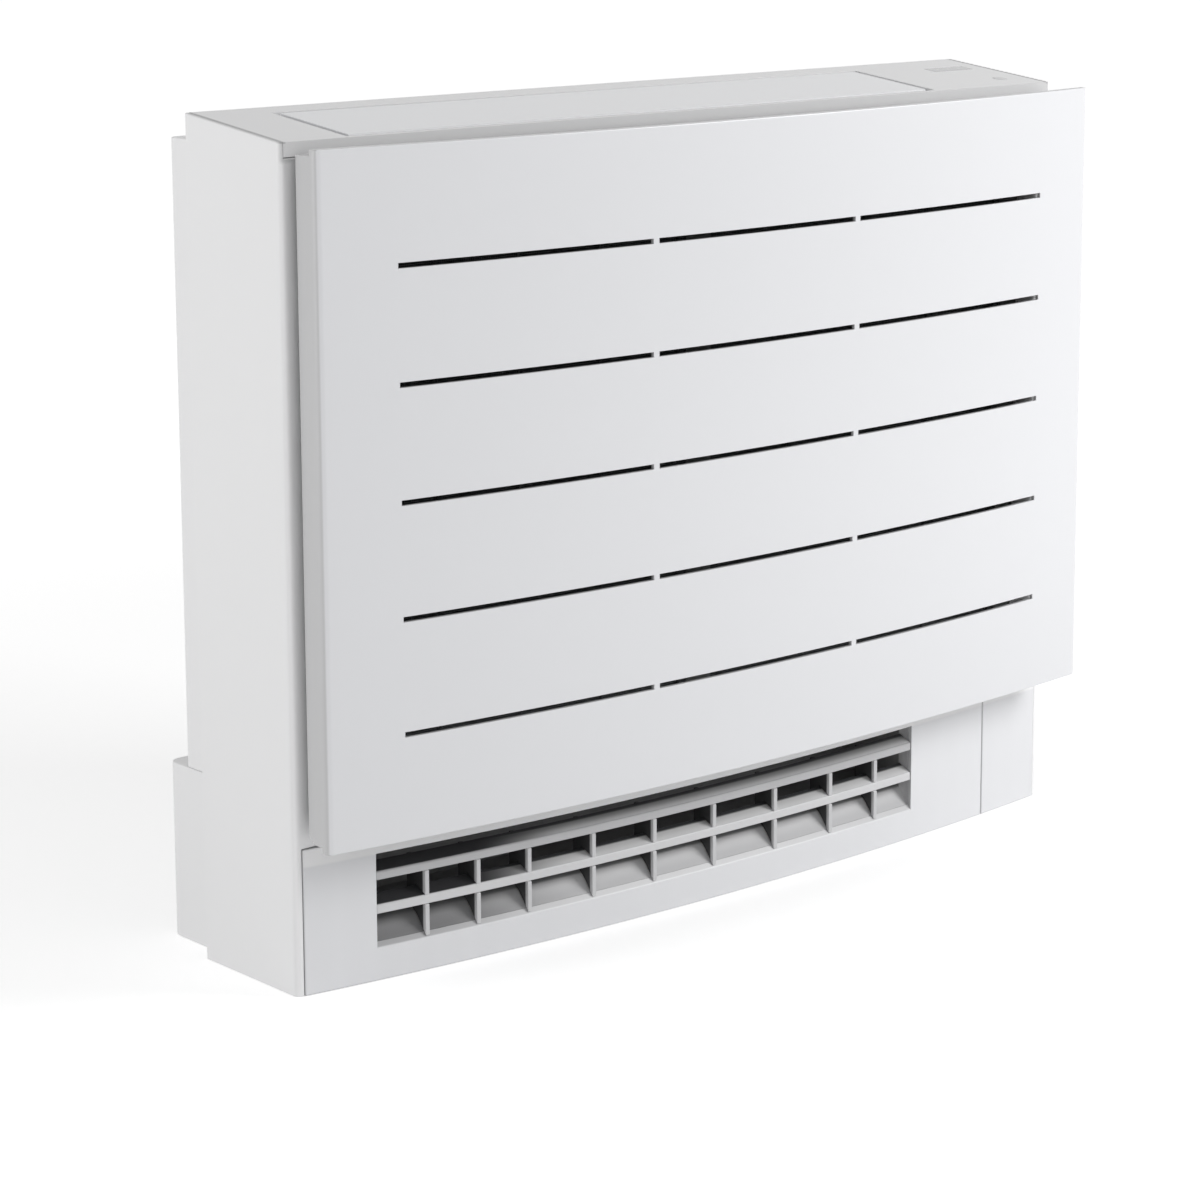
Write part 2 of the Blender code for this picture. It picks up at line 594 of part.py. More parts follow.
def build_lower_cover(name, left, right, closed_left, closed_right):
    """A bowed wall with a shelf on top and a lip below, and an end wall where it is closed."""
    cover = prism(name, lower_outline(left, right, 0, RETURN_BACK_Y), "Z", 0, LOWER_HEIGHT, panel_white)
    soften(cover, SOFT_EDGE)
    inner_left = left + WALL if closed_left else left - WALL
    inner_right = right - WALL if closed_right else right + WALL
    cut(cover, prism(f"{name}_hollow", lower_outline(inner_left, inner_right, WALL, RETURN_BACK_Y + WALL), "Z",
                     WALL, LOWER_HEIGHT - WALL))
    return cover


def build_lower_covers():
    end = COVER_INNER_X - WALL - SEAT
    cover = build_lower_cover("lower_front_cover", -end, CORNER_SEAM_X, True, False)
    cut(cover, along_outlet("outlet_window", OUTLET_LEFT, OUTLET_RIGHT, window_section))
    build_lower_cover("lower_corner_cover", CORNER_SEAM_X + COVER_SEAM, end, False, True)


def along_outlet(name, left, right, section, material=None):
    """A solid joined up from sections that follow the bow of the cover's front."""
    shape = bmesh.new()
    rings = []
    for x, front_y in bowed_line(left, right, BODY_FRONT_Y, LOWER_BOW):
        rings.append([shape.verts.new((x, y, z)) for y, z in section(front_y)])
    for ring, following in zip(rings, rings[1:]):
        for i in range(len(ring)):
            shape.faces.new((ring[i - 1], ring[i], following[i], following[i - 1]))
    shape.faces.new(rings[0])
    shape.faces.new(rings[-1])
    return add_object(name, shape, material)


def window_section(front_y):
    """The opening in the cover's wall, with a sill that slopes down to the front."""
    before, behind = front_y - WALL, front_y + 2 * WALL
    return [(before, OUTLET_SILL - SILL_SLOPE), (front_y, OUTLET_SILL - SILL_SLOPE), (front_y + WALL, OUTLET_SILL),
            (behind, OUTLET_SILL), (behind, OUTLET_TOP), (before, OUTLET_TOP)]


def ramp_line(front_y):
    """The duct's floor behind the sill, steep at first and level at its crest."""
    line = []
    for i in range(RAMP_STEPS + 1):
        share = i / RAMP_STEPS
        y = front_y + WALL + RAMP_DEPTH * share
        line.append((y, OUTLET_SILL + RAMP_RISE * math.sin(share * math.pi / 2)))
    return line


def duct_section(front_y):
    """The duct's inside in section behind a point of the cover's front: a ramp and a round back."""
    back = BODY_FRONT_Y + DUCT_BACK
    crest = OUTLET_SILL + RAMP_RISE
    scroll = arc((0, (crest + OUTLET_TOP) / 2), (OUTLET_TOP - crest) / 2, -80, 80, CORNER_STEPS)
    rounded = [(back, crest)] + [(back + y * DUCT_ROUNDING, z) for y, z in scroll] + [(back, OUTLET_TOP)]
    return [(front_y - WALL, OUTLET_SILL)] + ramp_line(front_y) + rounded + [(front_y - WALL, OUTLET_TOP)]


def build_outlet_duct():
    """The scroll behind the outlet: its mouth follows the cover's bow, and its back is round."""
    left, right = OUTLET_LEFT - DUCT_SHELL, OUTLET_RIGHT + DUCT_SHELL
    duct = prism("outlet_duct", lower_outline(left, right, WALL + SEAT, BODY_FRONT_Y + DUCT_BACK + DUCT_SHELL), "Z",
                 BOTTOM_PLATE + SEAT, LOWER_HEIGHT - WALL - SEAT, light_grey)
    cut(duct, along_outlet("outlet_duct_hollow", OUTLET_LEFT, OUTLET_RIGHT, duct_section))


def bar_section(front, low, height):
    """A louvre bar in section: an upright front, and a thinner tail that rises to the rear."""
    rear, tail = front + BAR_DEPTH, low + height + BAR_RISE
    return [(front, low), (front, low + height), (rear, tail), (rear, tail - BAR_TAIL)]


def build_outlet_bar(name, low, height):
    """A bowed louvre bar across the outlet."""
    bar = along_outlet(name, OUTLET_LEFT + SEAT, OUTLET_RIGHT - SEAT,
                       lambda front_y: bar_section(front_y + BAR_INSET, low, height), white)
    soften(bar, BAR_SOFT_EDGE, 1)


def build_outlet_rib(name, x):
    """A guide rib between the outlet's ramp and the upper bar, notched round the lower bar."""
    cover_front = bowed(x, BODY_FRONT_Y, LOWER_BOW)
    front = cover_front + BAR_INSET
    rear = front + RIB_DEPTH
    sill = OUTLET_SILL - SILL_SLOPE * (1 - BAR_INSET / WALL)
    floor = [(front, sill)] + ramp_line(cover_front) + [(rear, OUTLET_SILL + RAMP_RISE)]
    floor = [(y, z + 2 * SEAT) for y, z in floor]
    under, _, _, under_tail = bar_section(front, UPPER_BAR_Z, UPPER_BAR_HEIGHT)
    head = [(rear, under_tail[1] - SEAT), (under_tail[0], under_tail[1] - SEAT), (front, under[1] - SEAT)]
    low, high, high_tail, low_tail = bar_section(front, LOWER_BAR_Z, LOWER_BAR_HEIGHT)
    notch = [(front, high[1] + SEAT), (high_tail[0] + SEAT, high_tail[1] + 2 * SEAT),
             (low_tail[0] + SEAT, low_tail[1] - SEAT), (front, low[1] - 2 * SEAT)]
    prism(name, floor + head + notch, "X", x - RIB_THICK / 2, x + RIB_THICK / 2, white)


def build_outlet_ribs():
    """A rib between each two cells, with the cells' widths spread over the outlet."""
    rib_x = OUTLET_LEFT
    for number, width in enumerate(CELL_WIDTHS[:-1], 1):
        rib_x += width * (OUTLET_RIGHT - OUTLET_LEFT) / sum(CELL_WIDTHS)
        build_outlet_rib(f"outlet_rib_{number}", rib_x)


def build_intake():
    """The frame behind the panel, with a window for each filter."""
    front, rear = INNER_FRONT_Y, INNER_FRONT_Y + INTAKE_THICK
    half = COVER_INNER_X - SEAT
    frame = box("intake_frame", (-half, half), (front, rear), (LOWER_HEIGHT + 2 * SEAT, INTAKE_TOP),
                light_grey)
    windows = bmesh.new()
    inner, outer = INTAKE_MULLION / 2, half - INTAKE_BORDER
    sill, head = LOWER_HEIGHT + INTAKE_SILL, INTAKE_TOP - INTAKE_HEAD
    for low, high in ((-outer, -inner), (inner, outer)):
        add_box(windows, (low, high), (front - WALL, rear + WALL), (sill, head))
    cut(frame, add_object("intake_windows", windows, None))
    for name, low, high in (("left_air_filter", -outer, -inner), ("right_air_filter", inner, outer)):
        build_filter(name, (low + FILTER_PLAY, high - FILTER_PLAY), front + FILTER_RECESS,
                     (sill + FILTER_PLAY, head - FILTER_PLAY))


def build_filter(name, across, front, upright):
    """A thin sheet held in a rim with crossing ribs."""
    left, right = across
    low, high = upright
    air_filter = box(name, across, (front, front + FILTER_THICK), upright, filter_grey)
    pockets = bmesh.new()
    cell_width = (right - left - 2 * FILTER_RIM - (FILTER_COLUMNS - 1) * FILTER_RIB) / FILTER_COLUMNS
    cell_height = (high - low - 2 * FILTER_RIM - (FILTER_ROWS - 1) * FILTER_RIB) / FILTER_ROWS
    for column in range(FILTER_COLUMNS):
        x = left + FILTER_RIM + column * (cell_width + FILTER_RIB)
        for row in range(FILTER_ROWS):
            z = low + FILTER_RIM + row * (cell_height + FILTER_RIB)
            add_box(pockets, (x, x + cell_width), (front - WALL, front + FILTER_THICK - FILTER_SHEET),
                    (z, z + cell_height))
    cut(air_filter, add_object(f"{name}_pockets", pockets, None))
    width, height, reach = FILTER_TAB
    middle = (left + right) / 2
    join(air_filter, box(f"{name}_tab", (middle - width / 2, middle + width / 2), (front - reach, front + THIN_WALL),
                         (high - FILTER_RIM + SEAT, high - FILTER_RIM + height)))


def rounded_rear(half, front, rear, radius):
    """A plan outline with rounded rear corners."""
    right = arc((half - radius, rear - radius), radius, 0, 90, CORNER_STEPS)
    left = arc((-half + radius, rear - radius), radius, 90, 180, CORNER_STEPS)
    return [(-half, front), (half, front)] + right + left


def build_rear():
    """The chassis tray on its deeper foot, and the bottom plate."""
    front = COVER_REAR_Y + SEAT
    half = REAR_HALF_WIDTH
    chassis = prism("rear_chassis", rounded_rear(half, front, CHASSIS_REAR_Y, CHASSIS_RADIUS), "Z",
                    FOOT_HEIGHT + SEAT, CHASSIS_TOP, white)
    cut(chassis, prism("chassis_hollow", rounded_rear(half - WALL, front - WALL, CHASSIS_REAR_Y - WALL,
                                                      CHASSIS_RADIUS - WALL / 2),
                       "Z", FOOT_HEIGHT + WALL, CHASSIS_TOP - WALL))
    details = bmesh.new()
    width, height = HOOK_SLOT
    hook_z = CHASSIS_TOP - HOOK_DROP
    for side in (-1, 1):
        hook_x = side * (half - HOOK_INSET)
        add_box(details, (hook_x - width / 2, hook_x + width / 2),
                (CHASSIS_REAR_Y - 2 * WALL, CHASSIS_REAR_Y + WALL), (hook_z - height / 2, hook_z + height / 2))
    outermost = half - BACK_RIB_INSET
    for number in range(BACK_RIB_COUNT):
        x = outermost * (2 * number / (BACK_RIB_COUNT - 1) - 1)
        add_box(details, (x - BACK_RIB_WIDTH / 2, x + BACK_RIB_WIDTH / 2),
                (CHASSIS_REAR_Y - BACK_RIB_DEPTH, CHASSIS_REAR_Y + WALL),
                (FOOT_HEIGHT + BACK_RIB_FOOT, hook_z - BACK_RIB_HEAD))
    cut(chassis, add_object("chassis_details", details, None))
    foot = prism("rear_foot", rounded_rear(half, front, FOOT_REAR_Y, FOOT_RADIUS), "Z", 0, FOOT_HEIGHT, white)
    cut(foot, prism("foot_hollow", rounded_rear(half - WALL, front - WALL, FOOT_REAR_Y - WALL, FOOT_RADIUS - WALL / 2),
                    "Z", WALL, FOOT_HEIGHT - WALL))
    plate_half, tongue_half = COVER_INNER_X - SEAT, HALF_WIDTH - COVER_REAR_LIP - SEAT
    shoulder_y = COVER_REAR_Y - WALL - SEAT
    plate = [(-plate_half, RETURN_BACK_Y + SEAT), (plate_half, RETURN_BACK_Y + SEAT), (plate_half, shoulder_y),
             (tongue_half, shoulder_y), (tongue_half, COVER_REAR_Y), (-tongue_half, COVER_REAR_Y),
             (-tongue_half, shoulder_y), (-plate_half, shoulder_y)]
    prism("bottom_plate", plate, "Z", 0, BOTTOM_PLATE, light_grey)
    width, height = PIPE_COVER
    seat_y = FOOT_REAR_Y - PIPE_COVER_THICK
    recesses = bmesh.new()
    for side, name in ((-1, "left_pipe_cover"), (1, "right_pipe_cover")):
        middle = side * (half - PIPE_COVER_INSET)
        x = (middle - width / 2, middle + width / 2)
        z = ((FOOT_HEIGHT - height) / 2, (FOOT_HEIGHT + height) / 2)
        add_box(recesses, x, (seat_y, FOOT_REAR_Y + WALL), z)
        box(name, (x[0] + SEAT, x[1] - SEAT), (seat_y + SEAT, FOOT_REAR_Y), (z[0] + SEAT, z[1] - SEAT), white)
    cut(foot, add_object("pipe_cover_recesses", recesses, None))


clear_scene()
unit = new_collection("floor_standing_air_conditioner")
cutters = new_collection("cutters")
white = plastic("body white", WHITE, 0.40)
panel_white = plastic("panel white", PANEL_WHITE, 0.30)
light_grey = plastic("light grey", LIGHT_GREY, 0.45)
dark_grey = plastic("dark grey", DARK_GREY, 0.50)
filter_grey = plastic("filter grey", FILTER_GREY, 0.70)

build_front_panel()
for word, sign in (("left", -1), ("right", 1)):
    build_side_cover(f"{word}_side_cover", sign)
    build_hinge_bracket(f"{word}_hinge_bracket", sign)
    build_latch(f"{word}_panel_latch", sign)
build_top_cover()
build_controls()
build_top_flap()
build_upper_outlet()
build_lower_covers()
build_outlet_duct()
build_outlet_bar("outlet_bar_upper", UPPER_BAR_Z, UPPER_BAR_HEIGHT)
build_outlet_bar("outlet_bar_lower", LOWER_BAR_Z, LOWER_BAR_HEIGHT)
build_outlet_ribs()
build_intake()
build_rear()
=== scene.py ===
"""Floor standing air conditioner: finishes, fine detail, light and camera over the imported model."""

import math

import bmesh
import bpy
from mathutils import Matrix, Vector


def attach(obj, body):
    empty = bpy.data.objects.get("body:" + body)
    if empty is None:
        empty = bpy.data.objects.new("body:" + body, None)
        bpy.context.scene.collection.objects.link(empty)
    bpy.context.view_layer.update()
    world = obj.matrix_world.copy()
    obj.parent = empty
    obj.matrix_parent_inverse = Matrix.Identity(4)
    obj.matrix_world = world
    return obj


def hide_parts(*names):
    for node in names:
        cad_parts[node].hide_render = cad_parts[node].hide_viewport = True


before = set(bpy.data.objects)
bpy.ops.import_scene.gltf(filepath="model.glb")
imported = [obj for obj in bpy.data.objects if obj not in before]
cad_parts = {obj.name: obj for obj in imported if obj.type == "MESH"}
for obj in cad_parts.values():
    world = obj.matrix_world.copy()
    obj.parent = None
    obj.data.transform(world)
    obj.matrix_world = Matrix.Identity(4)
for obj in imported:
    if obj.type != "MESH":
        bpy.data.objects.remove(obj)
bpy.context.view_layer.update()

# Sizes that the finishes and the small pieces share with the model, in metres.
# A bow is how far a front face curves forward; a lit back is how deep behind it the painted light reaches
# before painted shade begins.
# A shade is the stretch over which the painted shade of the outlet's narrow left cells fades to the right.
HALF_WIDTH = 0.375
PANEL_END_Y = -0.095
PANEL_BOW = 0.024
PLATE_RIM = 0.0005
BODY_FRONT_Y = -0.056
LOWER_BOW = 0.026
RAMP_LIT_BACK = 0.0138
BAR_LIT_BACK = 0.0090
LOWER_BAR_Z = 0.048
SILL_SHADE_X = (-0.280, -0.140)
BAR_SHADE_X = (-0.230, -0.140)
RAMP_SHADE_X = (-0.260, -0.120)
INTAKE_FRONT_Y = -0.0527
COVER_REAR_Y = 0.0535
COVER_TOP = 0.600
COVER_DROP = 0.013
TOP_SLOPE = COVER_DROP / (COVER_REAR_Y - BODY_FRONT_Y)
SEAM_X = 0.3722
FLANGE_LOW_Z = 0.5720
WINDOW_HEAD_Z = 0.0905
TROUGH_FLANGE_Z = 0.572
CHASSIS_REAR_Y = 0.096
PIPE_COVER_X = 0.291
PIPE_COVER_Z = 0.065
KNOCK_OUT_RADIUS = 0.026
DISPLAY_Y = 0.017
DISPLAY_LAMPS_X = (0.322, 0.334, 0.346)
FILTER_THREAD_PITCH = 0.0016

# The screws: how far they stand to each side, their heights and the radius of their heads
CHASSIS_SCREW_X = 0.340
CHASSIS_SCREW_Z = (0.152, 0.560)
CHASSIS_SCREW_RADIUS = 0.0042
COVER_SCREW_X = 0.3675
COVER_SCREW_Z = (0.170, 0.350, 0.530)
COVER_SCREW_RADIUS = 0.0032
INTAKE_SCREW_X = 0.3325
INTAKE_SCREW_Z = (0.128, 0.345, 0.568)
INTAKE_SCREW_RADIUS = 0.0034

# The studio: strength of the surround's light, the floor's glow to the camera, and watts of the lamps
WORLD_LIGHT = 0.44
FLOOR_GLOW = 0.60
RIGHT_LAMP_POWER = 28.0
LEFT_LAMP_POWER = 23.0

# The camera: place in metres, angles in degrees, lens in millimetres on a 36 mm sensor
CAMERA_PLACE = (-1.6743, -1.8866, 0.7962)
CAMERA_AZIMUTH = 40.7086
CAMERA_DIP = 10.6066
CAMERA_LEAN = -0.239
CAMERA_LENS = 102.48
CAMERA_SHIFT = -0.12


class Value:
    """A shader socket: an expression on it adds Math nodes."""

    def __init__(self, finish, socket):
        self.finish = finish
        self.socket = socket

    def math(self, operation, *values):
        return self.finish.add("ShaderNodeMath", {"operation": operation}, values)

    def __add__(self, other):
        return self.math("ADD", self, other)

    def __sub__(self, other):
        return self.math("SUBTRACT", self, other)

    def __rsub__(self, other):
        return self.math("SUBTRACT", other, self)

    def __mul__(self, other):
        return self.math("MULTIPLY", self, other)

    def __truediv__(self, other):
        return self.math("DIVIDE", self, other)

    def __pow__(self, other):
        return self.math("POWER", self, other)

    def sine(self):
        return self.math("SINE", self)

    def size(self):
        return self.math("ABSOLUTE", self)

    def largest(self, other):
        return self.math("MAXIMUM", self, other)

    __radd__ = __add__
    __rmul__ = __mul__


class Finish:
    """One material, built round its Principled shader."""

    def __init__(self, name, **constants):
        self.material = bpy.data.materials.new(name)
        self.material.use_nodes = True
        self.tree = self.material.node_tree
        self.shader = self.tree.nodes["Principled BSDF"]
        for socket, value in constants.items():
            self.put(self.shader.inputs[socket.replace("_", " ")], value)
        place = self.add("ShaderNodeTexCoord", {}, {}, "Object")
        self.place = place
        self.x = self.add("ShaderNodeSeparateXYZ", {}, [place], "X")
        self.y = self.add("ShaderNodeSeparateXYZ", {}, [place], "Y")
        self.z = self.add("ShaderNodeSeparateXYZ", {}, [place], "Z")

    def put(self, socket, value):
        if isinstance(value, Value):
            self.tree.links.new(value.socket, socket)
        elif isinstance(value, tuple) and len(value) == 3 and socket.type == "RGBA":
            socket.default_value = (*value, 1.0)
        else:
            socket.default_value = value

    def add(self, kind, settings, values, output=0):
        """Adds a node with its settings, and sets or links its sockets by number or by name."""
        node = self.tree.nodes.new(kind)
        for name, setting in settings.items():
            setattr(node, name, setting)
        pairs = values.items() if isinstance(values, dict) else enumerate(values)
        for key, value in pairs:
            self.put(node.inputs[key], value)
        return Value(self, node.outputs[output])

    def noise(self, scale, detail=2.0):
        inputs = {"Vector": self.place, "Scale": scale, "Detail": detail}
        return self.add("ShaderNodeTexNoise", {}, inputs, "Fac")

    def ramp(self, value, low, high):
        """0 below low, 1 above high and a smooth rise between."""
        limits = {"Value": value, "From Min": low, "From Max": high}
        return self.add("ShaderNodeMapRange", {"interpolation_type": "SMOOTHSTEP"}, limits, "Result")

    def blend(self, share, first, second):
        """The first colour where share is 0 and the second where it is 1."""
        return self.add("ShaderNodeMix", {"data_type": "RGBA"}, {0: share, 6: first, 7: second}, 2)

    def behind(self, end_y, bow):
        """Distance behind a bowed front face."""
        across = self.x / HALF_WIDTH
        return self.y - end_y + bow - across * across * bow

    def set(self, socket, value):
        self.put(self.shader.inputs[socket], value)

    def bump(self, height, strength, distance):
        inputs = {"Height": height, "Strength": strength, "Distance": distance}
        self.set("Normal", self.add("ShaderNodeBump", {}, inputs, "Normal"))


def shade(colour, factor):
    return tuple(channel * factor for channel in colour)


def moulded(name, colour, roughness, grain, relief):
    """Moulded plastic: a fine even grain, and tone and gloss that drift a little over the surface."""
    finish = Finish(name, Specular_IOR_Level=0.5)
    drift = finish.noise(2.5)
    fine = finish.noise(grain, 3.0)
    finish.tone = finish.blend(drift, shade(colour, 0.985), colour)
    finish.set("Base Color", finish.tone)
    finish.set("Roughness", fine * 0.08 + drift * 0.04 + (roughness - 0.06))
    finish.bump(fine, relief, 0.0001)
    return finish


def body_plastic():
    """White, with painted light on the returns beside the panel, painted shade on the flange above it, and
    a painted shadow line along the sloping top's seams.
    """
    finish = moulded("body_plastic", (0.80, 0.80, 0.805), 0.42, 1500.0, 0.10)
    # Painted light: the returns beside the panel are paler, to offset the panel's shade.
    front = 1 - finish.ramp(finish.y, BODY_FRONT_Y + 0.0002, BODY_FRONT_Y + 0.0030)
    # Painted shadow: a grey line along the seams of the sloping top.
    seam = 1 - finish.ramp((finish.x.size() - SEAM_X).size(), 0.0008, 0.0036)
    below = (finish.y - COVER_REAR_Y) * TOP_SLOPE + COVER_TOP - finish.z
    edge = seam * (1 - finish.ramp(below, 0.0006, 0.0014))
    # Painted shade: the front flange above the panel is greyer.
    flange = finish.ramp(finish.z, FLANGE_LOW_Z, FLANGE_LOW_Z + 0.0035)
    tone = finish.blend(front, finish.tone, finish.blend(flange, (0.96, 0.96, 0.965), (0.68, 0.68, 0.685)))
    finish.set("Base Color", finish.blend(edge, tone, (0.46, 0.46, 0.465)))
    return finish.material


def panel_plastic():
    """The white plate in front, and the grey collar behind its rim: its own grey and painted shade of the
    recess together, starting on the rim's rounded edge.
    """
    finish = moulded("panel_plastic", (0.825, 0.83, 0.85), 0.30, 2200.0, 0.05)
    # Painted shade in part: the collar's grey, its own colour with the recess's shade, starts on the rim's
    # rounded edge.
    collar = finish.ramp(finish.behind(PANEL_END_Y, PANEL_BOW), PLATE_RIM, PLATE_RIM + 0.0012)
    finish.set("Base Color", finish.blend(collar, finish.tone, (0.53, 0.53, 0.535)))
    return finish.material


def flap_plastic():
    return moulded("flap_plastic", (0.80, 0.805, 0.82), 0.32, 2200.0, 0.05).material


def lower_cover_plastic():
    """White, with painted light in the panel's shade, and painted shade on the outlet's sill and jambs,
    darker to the left where the ribs stand close.
    """
    finish = moulded("lower_cover_plastic", (0.86, 0.865, 0.885), 0.36, 1800.0, 0.08)
    inside = finish.ramp(finish.behind(BODY_FRONT_Y, LOWER_BOW), -0.0001, 0.0010)
    # Painted shade: the sill and jambs are grey, darker to the left where the ribs stand close.
    narrow_cell_shade = 1 - finish.ramp(finish.x, *SILL_SHADE_X)
    sill = finish.blend(narrow_cell_shade, (0.60, 0.60, 0.61), (0.42, 0.42, 0.43))
    # Painted light: the strip above the window, in the panel's shade, is paler.
    upper = finish.ramp(finish.z, WINDOW_HEAD_Z, WINDOW_HEAD_Z + 0.0025)
    front = finish.blend(upper, finish.tone, (0.98, 0.98, 0.985))
    finish.set("Base Color", finish.blend(inside, front, sill))
    return finish.material


def bar_plastic(name, level, painted_tail_level):
    """White in front; along the top a painted highlight fading to the tail's level; painted shade at the
    tail and where the ribs stand close.
    """
    finish = moulded(name, (level, level, level + 0.01), 0.45, 1500.0, 0.10)
    back = finish.behind(BODY_FRONT_Y, LOWER_BOW)
    narrow_cell_shade = 1 - finish.ramp(finish.x, *BAR_SHADE_X)
    # Painted shade: dark at the tail and in the narrow left cells.
    dark = narrow_cell_shade.largest(finish.ramp(back, BAR_LIT_BACK - 0.0008, BAR_LIT_BACK + 0.0012))
    # Painted highlight along the top, fading to the tail's painted level.
    top = finish.blend(finish.ramp(back, 0.001, BAR_LIT_BACK), (0.90, 0.90, 0.905), (painted_tail_level,) * 3)
    top = finish.blend(dark, top, (0.045, 0.045, 0.048))
    finish.set("Base Color", finish.blend(finish.ramp(back, 0.0012, 0.0022), finish.tone, top))
    return finish.material


def grey_plastic():
    return moulded("grey_plastic", (0.50, 0.51, 0.52), 0.48, 1300.0, 0.14).material


def button_plastic():
    return moulded("button_plastic", (0.66, 0.66, 0.67), 0.40, 1500.0, 0.10).material


def frame_plastic():
    return moulded("frame_plastic", (0.34, 0.345, 0.35), 0.50, 1300.0, 0.14).material


def duct_plastic():
    """A ramp at the mouth, painted lighter towards its crest, with painted shade where the ribs stand
    close together and behind its crest.
    """
    finish = moulded("duct_plastic", (0.53, 0.53, 0.54), 0.55, 1200.0, 0.18)
    back = finish.behind(BODY_FRONT_Y, LOWER_BOW)
    narrow_cell_shade = 1 - finish.ramp(finish.x, *RAMP_SHADE_X)
    # Painted light: the ramp is lighter towards its crest; painted shade in the narrow left cells.
    upper = finish.ramp(back, 0.004, RAMP_LIT_BACK - 0.001)
    wide_cell_painted_light = finish.blend(upper, finish.tone, (0.74, 0.74, 0.745))
    slim_cell_shade = finish.blend(upper, (0.18, 0.18, 0.185), (0.31, 0.31, 0.315))
    # Painted shade behind the crest.
    deep_shade = finish.ramp(back, RAMP_LIT_BACK - 0.001, RAMP_LIT_BACK + 0.001)
    finish.set("Base Color", finish.blend(deep_shade, finish.blend(narrow_cell_shade, wide_cell_painted_light, slim_cell_shade), (0.26, 0.26, 0.265)))
    return finish.material


def rib_plastic():
    """White on the front edge, and painted shade behind it, most of all above the lower bar."""
    finish = moulded("rib_plastic", (0.66, 0.66, 0.67), 0.45, 1500.0, 0.10)
    # Painted shade behind the front edge.
    deep_shade = finish.ramp(finish.behind(BODY_FRONT_Y, LOWER_BOW), 0.0025, 0.0040)
    high = finish.ramp(finish.z, LOWER_BAR_Z, LOWER_BAR_Z + 0.002)
    behind = finish.blend(high, (0.05, 0.05, 0.052), (0.045, 0.045, 0.047))
    finish.set("Base Color", finish.blend(deep_shade, finish.tone, behind))
    return finish.material


def trough_plastic():
    """Dark inside, and light on the flange that shows under the flap's seams."""
    finish = moulded("trough_plastic", (0.30, 0.30, 0.31), 0.50, 1200.0, 0.16)
    high = finish.ramp(finish.z, TROUGH_FLANGE_Z, TROUGH_FLANGE_Z + 0.003)
    finish.set("Base Color", finish.blend(high, (0.030, 0.030, 0.033), finish.tone))
    return finish.material


def vane_plastic():
    return moulded("vane_plastic", (0.045, 0.045, 0.05), 0.5, 1200.0, 0.16).material


def filter_mesh():
    """A fine woven net: threads along and across, dark between them."""
    finish = Finish("filter_mesh", Roughness=0.7)
    pitch = 2 * math.pi / FILTER_THREAD_PITCH
    upright = (finish.x * pitch).sine()
    level = (finish.z * pitch).sine()
    thread = finish.ramp(upright.largest(level), 0.25, 0.75)
    finish.set("Base Color", finish.blend(thread, (0.050, 0.052, 0.056), (0.25, 0.26, 0.27)))
    finish.bump(thread, 0.5, 0.0003)
    return finish.material


def pipe_cover_plastic():
    """A plain plate with a round groove, where it is knocked out for the pipes."""
    finish = moulded("pipe_cover_plastic", (0.80, 0.80, 0.805), 0.42, 1500.0, 0.10)
    across = finish.x.size() - PIPE_COVER_X
    above = finish.z - PIPE_COVER_Z
    radius = (across * across + above * above) ** 0.5
    groove = 1 - finish.ramp((radius - KNOCK_OUT_RADIUS).size(), 0.0004, 0.0009)
    finish.set("Base Color", finish.blend(groove, finish.tone, (0.55, 0.55, 0.555)))
    finish.bump(1 - groove, 0.8, 0.0006)
    return finish.material


def display_glass():
    """Smoked plastic over three small lamps that are off."""
    finish = Finish("display_glass")
    lamps = 0.0
    for lamp_x in DISPLAY_LAMPS_X:
        off_x, off_y = finish.x - lamp_x, finish.y - DISPLAY_Y
        lamps = 1 - finish.ramp(off_x * off_x + off_y * off_y, 1.0e-6, 1.9e-6) + lamps
    finish.set("Base Color", finish.blend(lamps, (0.40, 0.40, 0.41), (0.58, 0.60, 0.58)))
    finish.set("Roughness", finish.noise(900.0) * 0.06 + 0.14)
    return finish.material


def screw_steel():
    finish = Finish("screw_steel", Metallic=1.0)
    finish.set("Base Color", finish.blend(finish.noise(700.0), (0.42, 0.42, 0.43), (0.56, 0.56, 0.57)))
    finish.set("Roughness", finish.noise(1600.0) * 0.2 + 0.28)
    return finish.material


def finish_piece(name, shape, material, body, rounding=0.0, segments=3):
    """A named piece from a bmesh, smooth, with its edges rounded, riding on a body of the model."""
    mesh = bpy.data.meshes.new(name)
    shape.to_mesh(mesh)
    shape.free()
    piece = bpy.data.objects.new(name, mesh)
    bpy.context.scene.collection.objects.link(piece)
    mesh.materials.append(material)
    mesh.shade_smooth()
    if rounding:
        edges = piece.modifiers.new("Rounded edges", "BEVEL")
        edges.width = rounding
        edges.segments = segments
        edges.limit_method = "ANGLE"
        edges.angle_limit = math.radians(30)
        edges.harden_normals = False
        evened = piece.modifiers.new("Even faces", "WEIGHTED_NORMAL")
        evened.keep_sharp = False
    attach(piece, body)
    return piece


def round_off(node, material, rounding, body="unit"):
    """Stands for a node of the model: the same moulding with its edges rounded."""
    shape = bmesh.new()
    shape.from_mesh(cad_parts[node].data)
    bmesh.ops.remove_doubles(shape, verts=shape.verts, dist=0.00001)
    bmesh.ops.dissolve_limit(shape, angle_limit=math.radians(0.15), verts=shape.verts, edges=shape.edges)
    bmesh.ops.connect_verts_concave(shape, faces=shape.faces)
    piece = finish_piece(f"{node}_moulding", shape, material, body, rounding)
    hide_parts(node)
    return piece


